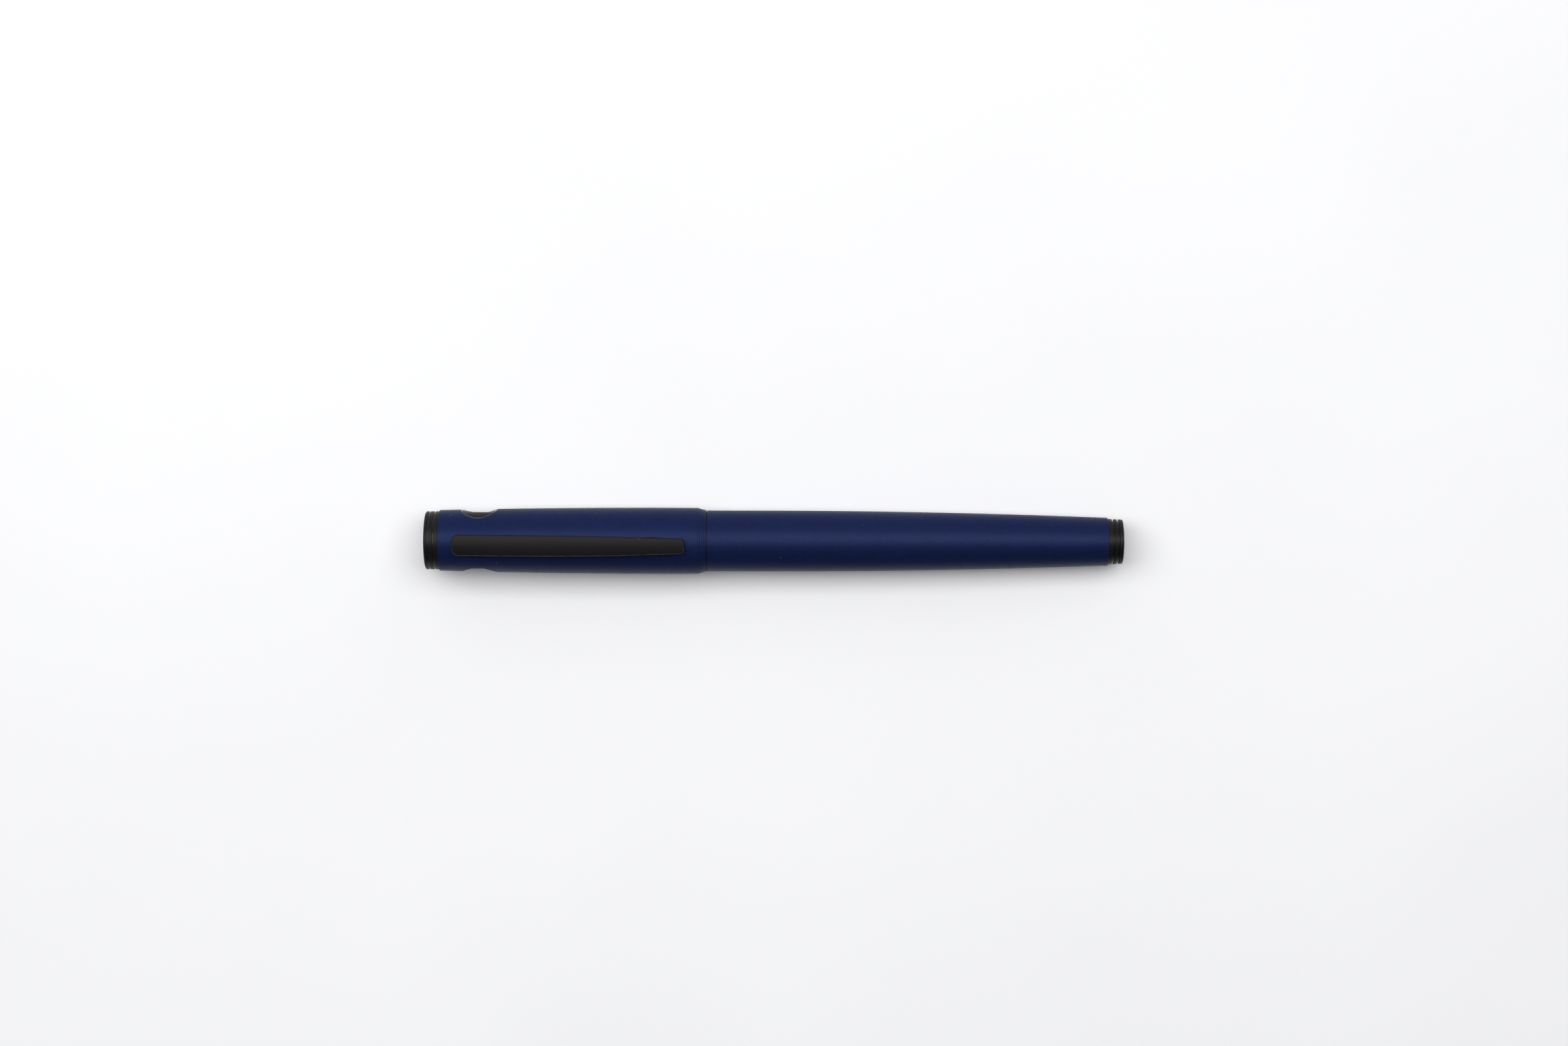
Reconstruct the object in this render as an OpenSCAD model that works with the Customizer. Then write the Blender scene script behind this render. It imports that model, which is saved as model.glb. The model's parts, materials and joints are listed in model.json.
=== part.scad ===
// Technical pen: push-on cap with clip, tubular drawing point and piston reservoir.
// The pen lies along X. The origin is on the pen's axis at the barrel's front face,
// +X points to the tail, the clip is on top (+Z), and all lengths are in millimetres.

/* [Cap] */
// Length of the cap shell, from its mouth to the finial
cap_len = 53.13; // [52.5:0.01:54]
// Largest outer radius of the cap shell
cap_r = 6.6; // [6.5:0.01:6.8]
// Distance from the barrel's front face to the cap's widest place
cap_crown = 10; // [8:0.5:14]
// Radius of the long arc that the cap's outline follows
cap_arc_r = 1712; // [1500:1:2400]
// Number of fine steps at the cap's mouth
lip_steps = 4; // [2:1:5]
// Length of one step
lip_step_len = 0.39; // [0.25:0.01:0.45]
// Fall of the radius at one step
lip_step_drop = 0.105; // [0.05:0.005:0.12]
// Gap between the cap's mouth and the barrel
seam_gap = 0.17; // [0.16:0.01:0.3]
// Distance from the barrel's front face to the cross hole
cross_hole_x = 45.4; // [44.5:0.1:46]
// Radius of the cross hole
cross_hole_r = 3.55; // [2.5:0.05:3.6]

/* [Finial] */
// Length of the finial's head
finial_len = 2.83; // [2.6:0.01:4]
// Radius of the finial's ribs
finial_r = 5.8; // [5.7:0.01:6]
// Depth of the two grooves between the ribs
finial_groove = 0.2; // [0.1:0.01:0.3]

/* [Clip] */
// Distance from the barrel's front face to the clip's root end
clip_root = 50.4; // [50:0.1:51]
// Distance from the barrel's front face to the clip's tip
clip_tip = 4.5; // [3:0.1:6]
// Width of the clip at its root
clip_w = 4.15; // [3:0.05:4.5]
// Narrowing of the clip from root to tip
clip_taper = 1.25; // [0.5:0.05:1.6]
// Thickness of the clip
clip_t = 0.7; // [0.5:0.05:0.7]
// Radius about the axis of the clip's crowned top, at its highest place
clip_top = 8.15; // [8.12:0.01:8.5]
// Radius of the long arc that the clip follows
clip_arc_r = 376; // [370:1:600]

/* [Barrel] */
// Length of the barrel
barrel_len = 79.8; // [79:0.1:84]
// Radius of the barrel's straight front
barrel_r = 6.08; // [6:0.01:6.2]
// Length of the straight front
barrel_land = 12; // [10:0.5:16]
// Radius of the barrel at its tail
barrel_end_r = 4.78; // [4.7:0.01:5.2]

/* [Tail plug] */
// Length of the plug's head
plug_len = 3; // [2.8:0.01:4]
// Radius of the head at the barrel
plug_r = 4.55; // [4.4:0.01:4.6]
// Radius of the head at its free end
plug_end_r = 4.43; // [4.3:0.01:4.5]
// Depth of the plug's two grooves
plug_groove = 0.42; // [0.2:0.01:0.5]

/* [Grip and point] */
// Distance from the barrel's front face to the front of the grip
grip_front = 27; // [26.9:0.05:27]
// Radius of the grip at its front
grip_r = 4.1; // [4.05:0.01:4.2]
// Outer radius of the drawing tube, half the line's width
tube_r = 0.25; // [0.25:0.05:0.5]
// Travel of the drop weight
weight_travel = 2; // [0.5:0.1:2]

/* [Reservoir] */
// Outer radius of the reservoir tube
tube_outer_r = 3.7; // [3.65:0.01:3.7]
// Inner radius of the reservoir tube
tube_inner_r = 3.1; // [3.09:0.01:3.12]
// Travel of the piston
piston_travel = 22; // [18:0.5:22]

/* [Hidden] */
$fn = 96;
navy = "#1f2a55";
black = "#262527";
steel = "#b9bcc0";
rubber = "#1b1b1c";
e = 0.01;

// Cap stations and bores
mouth_x = -seam_gap;
cap_end_x = mouth_x - cap_len;
shell_bore_r = 5.7;
liner_r = 5.66;
liner_bore_r = 5.15;
liner_rear_x = -6;
liner_front_x = -50.6;
liner_wall = 1.6;
lip_x = mouth_x - lip_steps * lip_step_len;
lip_slope = 0.02;
slot_len = 4.2;
slot_w = 2.6;
slot_x = -46.35;

// Clip fastening
clip_pin_x = -46.3;
clip_pin_z = 4;
clip_pin_r = 0.5;
clip_pin_len = 4.4;
tongue_front_x = -48.2;
tongue_rear_x = -44.4;
tongue_w = 2.4;
tongue_z = 3.3;
clip_high_x = -21;
bump_x = -10.6;
bump_r = 3.35;
bump_gap = 0.015;
root_corner_r = 1.2;
tip_corner_r = 0.5;

// Seal cup, its stop ring and spring
cup_back_x = -41.5;
cup_r = 4;
cup_bore_r = 3.4;
cup_flange_r = 5.05;
seal_face_x = -grip_front - 0.02;
stop_ring_x = -27.05;
stop_ring_len = 0.8;
stop_ring_r = 4.4;
spring_r = 2.6;
spring_wire_r = 0.2;

// Grip section
land_x = -5.9;
land_r = 5.55;
flange_r = 5.85;
collar_x = -9.4;
collar_r = 4.85;
tenon_r = 4.85;
tenon_len = 9;
clutch_x = -7.5;
clutch_r = 4.86;
clutch_wire_r = 0.25;
colour_ring_x = -25.2;
colour_ring_len = 1;
nib_thread_r = 3;
regulator_bore_r = 3.4;
reservoir_bore_r = tube_outer_r + 0.08;

// Drawing point
nib_rear_x = -15;
nib_flange_r = 3.2;
nib_cone_x = -35.2;
chamber_r = 1.9;
chamber_front_x = -30;
weight_r = 1.6;
weight_x = -27.5;
weight_len = 7;
point_x = -39.4;
point_shoulder_x = -36.4;
shoulder_r = 0.6;
wire_r = 0.07;
weight_stop_x = weight_x + weight_len + weight_travel + 1.2;

// Ink regulator and its spigot
fin_count = 12;
fin_pitch = 0.9;
fin_len = 0.45;
spigot_r = 2.4;

// Reservoir stations
tube_x = -1;
tube_end_x = 44;
tube_mouth_len = 4.6;
end_cap_rear_x = 45;
neck_r = 2.3;
neck_len = 3;
knob_x = 45.1;
knob_end_x = 64.5;
knob_r = 3.5;
rod_r = 1.7;
rod_flat = 1.4;
rod_bore_r = 1;
piston_x = 5;
piston_len = 4.5;
piston_r = 3.02;
end_cap_x = piston_x + piston_len + piston_travel + 5.5;
rod_end_x = end_cap_x + 2;
spindle_r = 0.95;
spindle_x = rod_end_x - 4;

// Barrel bores
bush_x = 1.3;
bush_end_x = 10.3;
counterbore_r = 5.2;
front_bore_r = 4.95;
rear_bore_r = 4.4;
bore_step_x = 44.5;
plug_bore_r = 3.9;
plug_bore_x = 73.9;

// ---- Outlines ----

// Outer radius of the cap at a station
function cap_outer(x) = cap_r - pow(x + cap_crown, 2) / (2 * cap_arc_r);

// Outer radius of the barrel at a station: straight, then a parabola down to the tail
function barrel_outer(x) = x < barrel_land ? barrel_r
    : barrel_r - (barrel_r - barrel_end_r) * pow((x - barrel_land) / (barrel_len - barrel_land), 2);

// Radius about the axis of the clip's crowned top at a station
function clip_top_z(x) = clip_top - pow(x - clip_high_x, 2) / (2 * clip_arc_r);

// Half of the clip's width at a station
function clip_half_w(x) = clip_w / 2
    - clip_taper / 2 * pow(max(0, (x + 40) / (40 - clip_tip)), 2.2);

// Evenly spaced stations from a to b
function stations(a, b, count) = [for (i = [0 : count]) a + (b - a) * i / count];

// ---- Shared shapes ----

// A body of revolution about X from an outline of [x, radius] points
module turned(outline) {
    rotate([0, 90, 0]) rotate_extrude() polygon([for (p = outline) [p[1], p[0]]]);
}

// A plain tube or disc about X
module tube(x0, x1, r_out, r_in = 0) {
    turned([[x0, r_in], [x0, r_out], [x1, r_out], [x1, r_in]]);
}

// A ring of round wire about X
module wire_ring(x, r, wire) {
    translate([x, 0, 0]) rotate([0, 90, 0]) rotate_extrude() translate([r, 0]) circle(wire, $fn = 24);
}

// Rods along X in a ring, to cut flutes
module flutes(x0, x1, r, flute_r, count) {
    for (i = [0 : count - 1]) rotate([i * 360 / count, 0, 0])
        translate([x0, 0, r]) rotate([0, 90, 0]) cylinder(h = x1 - x0, r = flute_r, $fn = 24);
}

// A coil of round wire about X
module coil(x0, x1, r, wire, turns) {
    per_turn = 20;
    sides = 6;
    count = turns * per_turn;
    pitch_x = (x1 - x0 - 2 * wire) / count;
    rings = [for (i = [0 : count]) for (k = [0 : sides - 1])
        let (a = 360 * i / per_turn, b = 360 * k / sides, d = r + wire * cos(b))
        [x0 + wire + i * pitch_x + wire * sin(b), d * cos(a), d * sin(a)]];
    walls = [for (i = [0 : count - 1]) for (k = [0 : sides - 1]) for (half = [0, 1])
        let (a = i * sides + k, b = i * sides + (k + 1) % sides)
        half == 0 ? [a, a + sides, b] : [b, a + sides, b + sides]];
    first = [for (k = [0 : sides - 1]) k];
    last = [for (k = [sides - 1 : -1 : 0]) count * sides + k];
    polyhedron(rings, concat([first], walls, [last]));
}

// ---- Cap ----

module cap_shell() {
    steps = [for (i = [0 : lip_steps - 1]) for (end = [0, 1])
        [lip_x + (i + end) * lip_step_len, cap_outer(lip_x) - (i + 1) * lip_step_drop - end * lip_slope]];
    arc = [for (x = stations(cap_end_x, lip_x, 16)) [x, cap_outer(x)]];
    color(navy) difference() {
        turned(concat(arc, steps, [[mouth_x, shell_bore_r], [cap_end_x, shell_bore_r]]));
        translate([-cross_hole_x, 0, 0]) rotate([90, 0, 0])
            cylinder(h = 3 * cap_r, r = cross_hole_r, center = true);
        clip_slot();
    }
}

// The window in shell and liner that the clip's tongue goes through
module clip_slot() {
    translate([slot_x - slot_len / 2, -slot_w / 2, tongue_z]) cube([slot_len, slot_w, cap_r]);
}

module inner_cap() {
    wall_x = liner_front_x + liner_wall;
    groove_x = stop_ring_x - 0.03;
    groove_end_x = stop_ring_x + stop_ring_len + 0.03;
    groove_r = 5.35;
    snap_half = 0.4;
    snap_r = 5.3;
    screw_hole_r = 1.55;
    color(black) difference() {
        turned([[liner_front_x, screw_hole_r], [liner_front_x, liner_r], [liner_rear_x, liner_r],
                [liner_rear_x, liner_bore_r], [clutch_x + snap_half, liner_bore_r],
                [clutch_x + snap_half, snap_r], [clutch_x - snap_half, snap_r],
                [clutch_x - snap_half, liner_bore_r], [groove_end_x, liner_bore_r],
                [groove_end_x, groove_r], [groove_x, groove_r], [groove_x, liner_bore_r],
                [wall_x, liner_bore_r], [wall_x, screw_hole_r]]);
        clip_slot();
    }
}

module cap_finial() {
    face_x = cap_end_x - finial_len;
    rim = 0.35;
    rib = 0.68;
    gap = 0.35;
    floor_r = finial_r - finial_groove;
    groove_1 = face_x + rib;
    groove_2 = groove_1 + gap + rib;
    rounding = [for (a = stations(90, 0, 6)) [face_x + rim - rim * cos(90 - a), finial_r - rim + rim * cos(a)]];
    color(black) turned(concat([[face_x, 0]], rounding,
        [[groove_1, finial_r], [groove_1, floor_r], [groove_1 + gap, floor_r], [groove_1 + gap, finial_r],
         [groove_2, finial_r], [groove_2, floor_r], [groove_2 + gap, floor_r], [groove_2 + gap, finial_r],
         [cap_end_x, finial_r], [cap_end_x, liner_r], [liner_front_x - 0.1, liner_r],
         [liner_front_x - 0.1, 1.47], [face_x + 0.85, 1.47], [face_x + 0.85, 0]]));
}

module finial_screw() {
    wall_x = liner_front_x + liner_wall;
    head_r = 2.2;
    head_len = 1.5;
    slot = 0.5;
    color(steel) difference() {
        union() {
            tube(-55, wall_x + 0.5, 1.45);
            tube(wall_x + e, wall_x + head_len, head_r);
        }
        translate([wall_x + head_len - 0.6, -head_r, -slot / 2]) cube([1, 2 * head_r, slot]);
    }
}

module seal_stop_ring() {
    color(steel) tube(stop_ring_x, stop_ring_x + stop_ring_len, 5.3, stop_ring_r);
}

module seal_spring() {
    color(steel) coil(liner_front_x + liner_wall + 0.03, cup_back_x - 0.03, spring_r, spring_wire_r, 5);
}

module seal_cup() {
    rim_x = -27.1;
    seat_x = -27.9;
    color("#55585c") turned([[cup_back_x, 0], [cup_back_x, cup_r], [-28.6, cup_r],
        [-28.6, cup_flange_r], [rim_x, cup_flange_r], [rim_x, 4.32], [seat_x, 4.32],
        [seat_x, cup_bore_r], [cup_back_x + 1.2, cup_bore_r], [cup_back_x + 1.2, 0]]);
}

module cap_seal() {
    color(rubber) tube(-27.89, seal_face_x, 4.3, cup_bore_r + 0.05);
}

// ---- Clip ----

// A strip crowned about the pen's axis and arched along it, with a half-round contact bump under the
// tip and a tongue that goes through the cap's window to the clip pin

module clip() {
    bump_z = cap_outer(bump_x) + bump_gap + bump_r;
    bump_root_z = clip_top_z(bump_x) - clip_t / 2;
    xs = stations(-clip_root, -clip_tip, 22);
    bar = concat([for (x = xs) [x, clip_top_z(x)]],
                 [for (i = [len(xs) - 1 : -1 : 0]) [xs[i], clip_top_z(xs[i]) - clip_t]]);
    color(black) difference() {
        union() {
            intersection() {
                linear_extrude(height = 2 * clip_top) clip_plan();
                turned(bar);
            }
            intersection() {
                linear_extrude(height = 2 * clip_top) clip_plan();
                wire_ring(bump_x, bump_z, bump_r);
                tube(bump_x - bump_r, bump_x + bump_r, bump_root_z);
            }
            translate([tongue_front_x, -tongue_w / 2, tongue_z])
                cube([tongue_rear_x - tongue_front_x, tongue_w, clip_top_z(tongue_front_x) - 0.4 - tongue_z]);
        }
        translate([clip_pin_x, 0, clip_pin_z]) rotate([90, 0, 0])
            cylinder(h = 2 * tongue_w, r = clip_pin_r + 0.03, center = true);
    }
}

// The clip's outline seen from above: straight, then narrowing to the tip, with round corners
module clip_plan() {
    root = [for (a = stations(90, 0, 6))
        [-clip_root + root_corner_r * (1 - sin(a)), clip_w / 2 - root_corner_r * (1 - cos(a))]];
    edge = [for (x = stations(-38, -clip_tip - tip_corner_r, 12)) [x, clip_half_w(x)]];
    tip_w = clip_half_w(-clip_tip - tip_corner_r);
    tip = [for (a = stations(15, 90, 5))
        [-clip_tip - tip_corner_r * (1 - sin(a)), tip_w - tip_corner_r * (1 - cos(a))]];
    half = concat(root, edge, tip);
    polygon(concat(half, [for (i = [len(half) - 1 : -1 : 0]) [half[i][0], -half[i][1]]]));
}

module clip_pin() {
    color(steel) translate([clip_pin_x, 0, clip_pin_z]) rotate([90, 0, 0])
        cylinder(h = clip_pin_len, r = clip_pin_r, center = true);
}

// ---- Grip section ----

module grip_section() {
    rim = 0.32;
    grip_end_x = -9.6;
    grip_end_r = 4.6;
    ring_end_x = colour_ring_x + colour_ring_len;
    rounding = [for (a = stations(90, 0, 5)) [-grip_front + rim * (1 - cos(90 - a)), grip_r - rim * (1 - cos(a))]];
    waist = [for (x = stations(ring_end_x, grip_end_x, 12))
        [x, grip_r + (grip_end_r - grip_r) * pow((x - ring_end_x) / (grip_end_x - ring_end_x), 2)]];
    color(black) difference() {
        turned(concat([[-grip_front, nib_thread_r]], rounding,
            [[colour_ring_x, grip_r], [colour_ring_x, 3.85], [ring_end_x, 3.85]], waist,
            [[collar_x, collar_r], [land_x, collar_r], [land_x, land_r], [-0.15, land_r],
             [-0.15, flange_r], [-0.02, flange_r], [-0.02, tenon_r], [0.3, tenon_r], [0.3, 4.5],
             [1, 4.5], [1, tenon_r], [tenon_len, tenon_r], [tenon_len, reservoir_bore_r],
             [-1.2, reservoir_bore_r], [-1.2, regulator_bore_r], [-14.8, regulator_bore_r],
             [-14.8, nib_thread_r]]));
        wire_ring(clutch_x, clutch_r, clutch_wire_r + 0.02);
    }
}

module clutch_ring() {
    color(steel) difference() {
        wire_ring(clutch_x, clutch_r, clutch_wire_r);
        translate([clutch_x - 1, -0.5, -2 * clutch_r]) cube([2, 1, 2 * clutch_r]);
    }
}

module colour_ring() {
    color("#c9772b") tube(colour_ring_x + e, colour_ring_x + colour_ring_len - e, grip_r, 3.87);
}

module section_o_ring() {
    color(rubber) wire_ring(0.65, 4.82, 0.3);
}

// Finned feed that holds back ink, with the spigot for the reservoir behind it
module ink_regulator() {
    x0 = -14.6;
    core_r = 1.7;
    fin_r = 3.3;
    disc_x = -3.4;
    comb = [for (i = [0 : fin_count - 1]) for (p = [[0, core_r], [0, fin_r], [fin_len, fin_r], [fin_len, core_r]])
        [x0 + i * fin_pitch + p[0], p[1]]];
    color("#2c2d30") difference() {
        turned(concat([[x0, 0.6]], comb, [[disc_x, core_r], [disc_x, regulator_bore_r - 0.02],
            [-1.4, regulator_bore_r - 0.02], [-1.4, spigot_r], [2.6, spigot_r], [2.6, 0.6]]));
        translate([x0 - 1, -0.2, 1.2]) cube([disc_x - x0 + 1, 0.4, fin_r]);
    }
}

// ---- Drawing point ----

module nib_body() {
    flange_x = -28;
    wrench_x = -30.5;
    color("#d9d6cc") difference() {
        turned([[nib_cone_x, 0.62], [nib_cone_x, 1], [wrench_x, 2.4], [wrench_x, 2.9],
            [flange_x, 2.9], [flange_x, nib_flange_r], [-grip_front - 0.05, nib_flange_r],
            [-grip_front - 0.05, nib_thread_r - 0.05], [-26.6, nib_thread_r - 0.05], [-26.6, 2.5],
            [-26, 2.5], [-26, nib_thread_r - 0.05], [nib_rear_x, nib_thread_r - 0.05],
            [nib_rear_x, chamber_r], [chamber_front_x, chamber_r], [chamber_front_x, 0.62]]);
        flutes(wrench_x - 0.5, flange_x, 3, 0.35, 12);
    }
}

module nib_o_ring() {
    color(rubber) wire_ring(-26.3, 2.74, 0.23);
}

module drawing_tube() {
    color(steel) turned([[point_x, tube_r - 0.11], [point_x, tube_r], [point_shoulder_x, tube_r],
        [point_shoulder_x + 0.2, shoulder_r], [chamber_front_x - 0.3, shoulder_r],
        [chamber_front_x - 0.3, 0.35], [point_shoulder_x + 0.6, 0.35],
        [point_shoulder_x + 0.4, tube_r - 0.11]]);
}

module safety_plug() {
    color("#d9d6cc") tube(weight_stop_x, nib_rear_x - 0.3, chamber_r - 0.02, 0.5);
}

module drop_weight() {
    rear_x = weight_x + weight_len;
    color(steel) turned([[-29.8, wire_r + e], [-29.8, 0.9], [weight_x, 0.9], [weight_x, weight_r],
        [rear_x, weight_r], [rear_x, 0], [weight_x + 1, 0], [weight_x + 1, wire_r + e]]);
}

module cleaning_wire() {
    color(steel) tube(point_x + 0.2, weight_x + 0.9, wire_r);
}

// ---- Reservoir ----

module reservoir_tube() {
    chamber_x = tube_x + tube_mouth_len;
    color("#dfe6ea") turned([[tube_x, spigot_r + 0.15], [tube_x, tube_outer_r], [tube_end_x, tube_outer_r],
        [tube_end_x, tube_inner_r], [chamber_x, tube_inner_r], [chamber_x, spigot_r + 0.05],
        [tube_x + 0.3, spigot_r + 0.05]]);
}

module reservoir_collar() {
    color(steel) tube(end_cap_x, end_cap_rear_x - 0.1, 4, tube_outer_r + 0.02);
}

module reservoir_end_cap() {
    bead_x = end_cap_rear_x + 1.8;
    color(black) difference() {
        turned([[end_cap_x, 0], [end_cap_x, tube_inner_r - 0.02], [tube_end_x + 0.05, tube_inner_r - 0.02],
            [tube_end_x + 0.05, tube_outer_r], [end_cap_rear_x, tube_outer_r], [end_cap_rear_x, neck_r],
            [bead_x, neck_r], [bead_x + 0.2, neck_r + 0.12], [bead_x + 0.6, neck_r + 0.12],
            [bead_x + 0.8, neck_r], [end_cap_rear_x + neck_len, neck_r], [end_cap_rear_x + neck_len, 0]]);
        rod_shape(end_cap_x - 1, end_cap_rear_x + neck_len + 1, 0.05);
    }
}

// A rod with two flats, grown by a clearance
module rod_shape(x0, x1, grow) {
    intersection() {
        tube(x0, x1, rod_r + grow);
        translate([x0, -rod_flat - grow, -2 * rod_r]) cube([x1 - x0, 2 * (rod_flat + grow), 4 * rod_r]);
    }
}

module piston() {
    rear_x = piston_x + piston_len;
    groove_r = 2.6;
    color("#3a3c40") difference() {
        union() {
            turned([[piston_x, 0], [piston_x, piston_r - 0.4], [piston_x + 0.4, piston_r],
                [piston_x + 0.9, piston_r], [piston_x + 0.9, groove_r], [piston_x + 1.6, groove_r],
                [piston_x + 1.6, piston_r], [piston_x + 2.9, piston_r], [piston_x + 2.9, groove_r],
                [piston_x + 3.6, groove_r], [piston_x + 3.6, piston_r], [rear_x, piston_r], [rear_x, 0]]);
            rod_shape(rear_x - 0.5, rod_end_x, 0);
        }
        tube(12, rod_end_x + 1, rod_bore_r);
    }
}

module piston_seals() {
    seal_r = tube_inner_r - 0.02;
    color(rubber) {
        tube(piston_x + 0.93, piston_x + 1.57, seal_r, 2.62);
        tube(piston_x + 2.93, piston_x + 3.57, seal_r, 2.62);
    }
}

module spindle() {
    color(steel) tube(spindle_x, knob_end_x - 1.1, spindle_r);
}

module piston_knob() {
    neck_gap = 0.06;
    bead_room_x = end_cap_rear_x + 1.7;
    rod_room_x = end_cap_rear_x + neck_len + 0.1;
    rod_room_end_x = rod_end_x + piston_travel + 0.6;
    color(black) difference() {
        turned([[knob_x, neck_r + neck_gap], [knob_x, knob_r - 0.3], [knob_x + 0.3, knob_r],
            [knob_end_x - 0.5, knob_r], [knob_end_x, knob_r - 0.5], [knob_end_x, 0],
            [knob_end_x - 1, 0], [knob_end_x - 1, spindle_r + e], [rod_room_end_x, spindle_r + e],
            [rod_room_end_x, rod_r + 0.1], [rod_room_x, rod_r + 0.1],
            [rod_room_x, neck_r + 0.2], [bead_room_x, neck_r + 0.2], [bead_room_x, neck_r + neck_gap]]);
        flutes(knob_x + 2, knob_end_x - 2, knob_r + 0.15, 0.35, 18);
    }
}

// ---- Barrel ----

module barrel() {
    taper = [for (x = stations(barrel_land, barrel_len, 20)) [x, barrel_outer(x)]];
    color(navy) turned(concat([[0, counterbore_r], [0, barrel_r]], taper,
        [[barrel_len, plug_bore_r], [plug_bore_x, plug_bore_r], [plug_bore_x, rear_bore_r],
         [bore_step_x, rear_bore_r], [bore_step_x, front_bore_r], [bush_end_x + 0.1, front_bore_r],
         [bush_end_x + 0.1, counterbore_r]]));
}

module barrel_bush() {
    color("#b08d4a") tube(bush_x, bush_end_x, counterbore_r - 0.02, tenon_r + 0.05);
}

module tail_plug() {
    x0 = barrel_len;
    end_x = barrel_len + plug_len;
    rim = 0.25;
    groove_len = 0.44;
    groove_1 = x0 + 0.82;
    groove_2 = groove_1 + 0.96;
    ring_x = plug_bore_x + 2;
    function head_r(x) = plug_r + (plug_end_r - plug_r) * (x - x0) / plug_len;
    rounding = [for (a = stations(0, 90, 5)) [end_x - rim * (1 - sin(a)), head_r(end_x) - rim * (1 - cos(a))]];
    color(black) turned(concat([[plug_bore_x + 0.3, 0], [plug_bore_x + 0.3, plug_bore_r - 0.02],
        [ring_x, plug_bore_r - 0.02], [ring_x, 3.4], [ring_x + 0.6, 3.4], [ring_x + 0.6, plug_bore_r - 0.02],
        [x0, plug_bore_r - 0.02], [x0, plug_r], [groove_1, head_r(groove_1)],
        [groove_1, head_r(groove_1) - plug_groove], [groove_1 + groove_len, head_r(groove_1) - plug_groove],
        [groove_1 + groove_len, head_r(groove_1)], [groove_2, head_r(groove_2)],
        [groove_2, head_r(groove_2) - plug_groove], [groove_2 + groove_len, head_r(groove_2) - plug_groove],
        [groove_2 + groove_len, head_r(groove_2)]], rounding, [[end_x, 0]]));
}

module tail_o_ring() {
    color(rubber) wire_ring(plug_bore_x + 2.3, 3.66, 0.23);
}

cap_shell();
inner_cap();
cap_finial();
finial_screw();
clip();
clip_pin();
seal_stop_ring();
seal_spring();
seal_cup();
cap_seal();
grip_section();
clutch_ring();
colour_ring();
section_o_ring();
ink_regulator();
nib_body();
nib_o_ring();
drawing_tube();
safety_plug();
drop_weight();
cleaning_wire();
reservoir_tube();
reservoir_collar();
reservoir_end_cap();
piston();
piston_seals();
spindle();
piston_knob();
barrel();
barrel_bush();
tail_plug();
tail_o_ring();
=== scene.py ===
import json
import math

import bmesh
import bpy
import numpy as np
from mathutils import Matrix, Vector


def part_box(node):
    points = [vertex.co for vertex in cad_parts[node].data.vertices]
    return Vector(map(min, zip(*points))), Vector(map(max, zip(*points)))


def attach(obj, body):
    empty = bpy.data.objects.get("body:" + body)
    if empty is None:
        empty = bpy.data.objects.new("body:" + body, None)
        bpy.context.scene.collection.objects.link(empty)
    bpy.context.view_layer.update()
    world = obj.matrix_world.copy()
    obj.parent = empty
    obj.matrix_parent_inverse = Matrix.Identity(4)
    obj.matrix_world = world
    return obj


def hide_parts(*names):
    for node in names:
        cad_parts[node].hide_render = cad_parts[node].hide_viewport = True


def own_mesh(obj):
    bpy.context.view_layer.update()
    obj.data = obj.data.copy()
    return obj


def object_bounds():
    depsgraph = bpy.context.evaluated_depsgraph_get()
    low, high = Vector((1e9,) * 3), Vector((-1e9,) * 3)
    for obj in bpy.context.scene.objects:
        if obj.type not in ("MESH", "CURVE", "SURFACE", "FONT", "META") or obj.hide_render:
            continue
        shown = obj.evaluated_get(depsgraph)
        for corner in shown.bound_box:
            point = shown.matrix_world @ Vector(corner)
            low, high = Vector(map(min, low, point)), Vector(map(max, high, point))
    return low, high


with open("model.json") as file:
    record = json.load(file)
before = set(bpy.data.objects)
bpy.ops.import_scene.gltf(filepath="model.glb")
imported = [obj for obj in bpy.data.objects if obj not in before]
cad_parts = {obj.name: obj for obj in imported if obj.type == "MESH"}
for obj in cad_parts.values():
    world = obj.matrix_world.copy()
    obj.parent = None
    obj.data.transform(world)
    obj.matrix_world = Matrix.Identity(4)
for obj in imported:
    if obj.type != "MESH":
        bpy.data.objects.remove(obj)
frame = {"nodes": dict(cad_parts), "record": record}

CAD_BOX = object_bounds()
MM = 0.001
RECORD = frame["record"]
BODY_OF = {n: body for body, names in RECORD["behaviour"]["bodies"].items() for n in names}
SLOT_OF = {part["node"]: part["material_slot"] for part in RECORD["subparts"]}

BARREL_PITCH = 0.75 * MM
DAYLIGHT = (0.97, 0.98, 1.0, 1)

# The half-plane through the axis that misses the cross hole, the slots, the flutes and the flats
CUT_ANGLE = math.radians(50.3)


# ---- outlines of the CAD nodes

def clean_bmesh(node):
    """The CAD node's mesh with its split vertices joined."""
    bm = bmesh.new()
    bm.from_mesh(frame["nodes"][node].data)
    bmesh.ops.remove_doubles(bm, verts=bm.verts, dist=1e-7)
    return bm


def ring_stations(bm):
    """The (x, radius) of every vertex of a turned solid."""
    return np.array([(v.co.x, math.hypot(v.co.y, v.co.z)) for v in bm.verts])


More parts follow.
